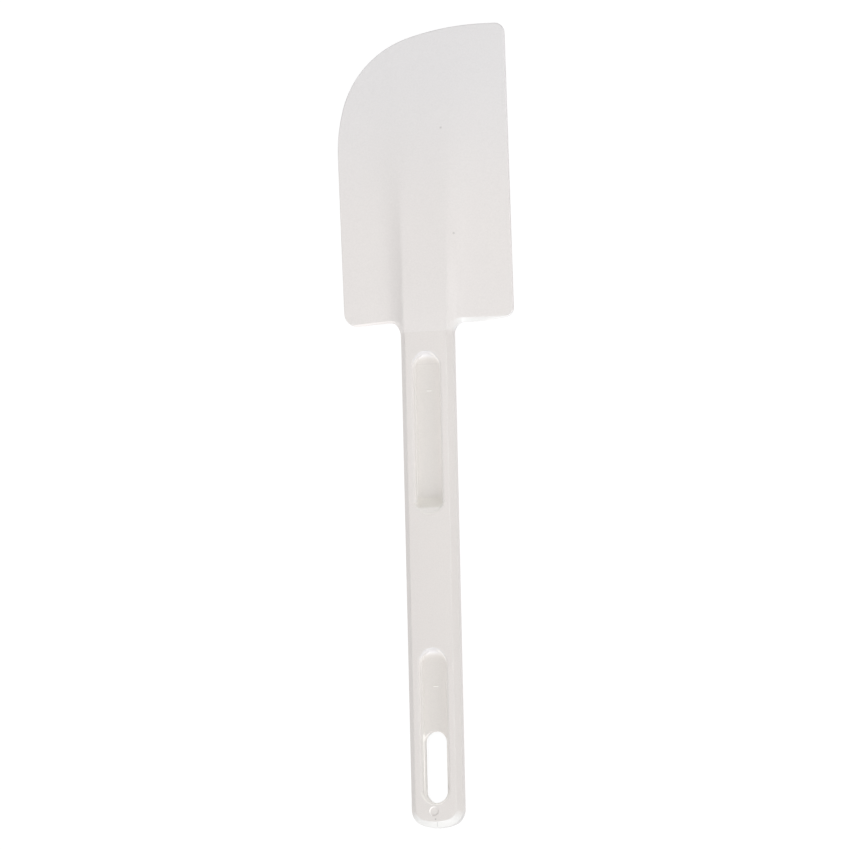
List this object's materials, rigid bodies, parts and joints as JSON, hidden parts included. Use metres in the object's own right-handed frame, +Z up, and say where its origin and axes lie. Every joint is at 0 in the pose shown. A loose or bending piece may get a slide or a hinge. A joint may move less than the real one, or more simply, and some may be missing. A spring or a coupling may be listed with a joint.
{
  "type": "bowl scraper",
  "caption": "Long-handled bowl scraper: stiff white handle with grip pockets and a hanging slot, and a soft blade moulded on its end with a swept corner, a square corner and a tapering rib.",
  "frame": {"origin": "on the surface the scraper lies on, under the middle of its length and on the handle's centre line", "axes": "+Y from the hanging end to the blade's top edge, +Z up out of the front face, +X to the right with the blade up, so the square corner is at +X and the swept one at -X"},
  "size_m": [0.0528, 0.2413, 0.008],
  "materials": {
    "handle": "satin white polypropylene",
    "blade": "fine matt white thermoplastic rubber"
  },
  "bodies": {
    "root": {"handle": "handle", "blade": "blade"}
  },
  "joints": []
}
